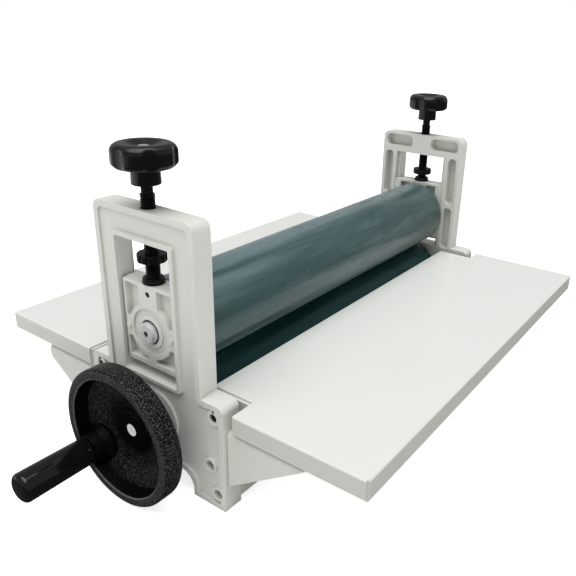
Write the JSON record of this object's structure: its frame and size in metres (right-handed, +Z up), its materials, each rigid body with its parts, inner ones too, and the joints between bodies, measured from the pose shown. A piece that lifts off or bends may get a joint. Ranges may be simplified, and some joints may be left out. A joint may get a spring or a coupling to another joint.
{
  "type": "cold roll laminator",
  "caption": "Hand-cranked cold laminator: cast side frames, a handwheel-driven lower roller, a screw-pressed sliding upper roller and white feed tables.",
  "frame": {"origin": "on the standing surface, under the middle of the full bounding box", "axes": "+X along the rollers, away from the handwheel; +Y towards the rear table; +Z up"},
  "size_m": [0.4852, 0.34, 0.237],
  "materials": {
    "painted_casting": "semi-gloss light grey paint over cast metal",
    "painted_sheet": "semi-gloss light grey paint on folded sheet steel",
    "table_laminate": "white laminate board, satin",
    "roller_rubber": "ground slate-green rubber, slightly glossy",
    "shaft_steel": "turned steel",
    "bearing_steel": "ground steel",
    "plated_steel": "zinc plated steel",
    "blackened_steel": "blackened steel",
    "knob_plastic": "moulded black plastic, satin",
    "handle_plastic": "glossy black plastic",
    "hammertone_paint": "charcoal hammertone paint on cast metal"
  },
  "bodies": {
    "frame": {"left_side_frame": "painted_casting", "right_side_frame": "painted_casting", "lower_bearings": "bearing_steel", "front_table": "table_laminate", "rear_table": "table_laminate", "left_front_bracket": "painted_sheet", "right_front_bracket": "painted_sheet", "left_rear_bracket": "painted_sheet", "right_rear_bracket": "painted_sheet", "front_tie_channel": "painted_sheet", "rear_tie_channel": "painted_sheet", "tie_screws": "plated_steel", "table_side_screws": "blackened_steel", "bracket_screws": "plated_steel", "table_flange_screws": "plated_steel"},
    "lower_roller": {"lower_roller_core": "shaft_steel", "lower_roller_cover": "roller_rubber", "handwheel": "hammertone_paint", "handwheel_set_screw": "blackened_steel", "crank_spindle": "shaft_steel", "crank_snap_ring": "shaft_steel"},
    "crank_grip": {"crank_handle": "handle_plastic"},
    "carriage": {"left_bearing_block": "painted_casting", "right_bearing_block": "painted_casting", "upper_bearings": "bearing_steel", "screw_retaining_grubs": "blackened_steel"},
    "upper_roller": {"upper_roller_core": "shaft_steel", "upper_roller_cover": "roller_rubber"},
    "left_screw": {"left_pressure_screw": "blackened_steel", "left_pressure_knob": "knob_plastic", "left_thrust_collar": "blackened_steel"},
    "right_screw": {"right_pressure_screw": "blackened_steel", "right_pressure_knob": "knob_plastic", "right_thrust_collar": "blackened_steel"},
    "left_nut": {"left_lock_nut": "blackened_steel"},
    "right_nut": {"right_lock_nut": "blackened_steel"}
  },
  "joints": [
    {"name": "lower_roller_spin", "type": "hinge", "parent": "frame", "child": "lower_roller", "pos_m": [0.03741, 0, 0.0497], "axis": [1, 0, 0], "continuous": true},
    {"name": "crank_grip_spin", "type": "hinge", "parent": "lower_roller", "child": "crank_grip", "pos_m": [-0.21659, 0.03085, 0.02786], "axis": [1, 0, 0], "continuous": true},
    {"name": "roller_lift", "type": "slide", "parent": "frame", "child": "carriage", "axis": [0, 0, 1], "range_m": [0, 0.0085]},
    {"name": "upper_roller_spin", "type": "hinge", "parent": "carriage", "child": "upper_roller", "pos_m": [0.03741, 0, 0.114], "axis": [1, 0, 0], "continuous": true},
    {"name": "left_screw_turn", "type": "hinge", "parent": "carriage", "child": "left_screw", "pos_m": [-0.14834, 0, 0.19], "axis": [0, 0, 1], "range_deg": [0, 2042]},
    {"name": "right_screw_turn", "type": "hinge", "parent": "carriage", "child": "right_screw", "pos_m": [0.22316, 0, 0.19], "axis": [0, 0, 1], "range_deg": [0, 2042]},
    {"name": "left_nut_travel", "type": "slide", "parent": "left_screw", "child": "left_nut", "axis": [0, 0, 1], "range_m": [-0.011, 0]},
    {"name": "right_nut_travel", "type": "slide", "parent": "right_screw", "child": "right_nut", "axis": [0, 0, 1], "range_m": [-0.0037, 0.0073]}
  ],
  "couplings": [
    {"joint": "upper_roller_spin", "follows": "lower_roller_spin", "ratio": -1},
    {"joint": "left_screw_turn", "follows": "roller_lift", "rad_per_m": 4188.8},
    {"joint": "right_screw_turn", "follows": "roller_lift", "rad_per_m": 4188.8}
  ]
}
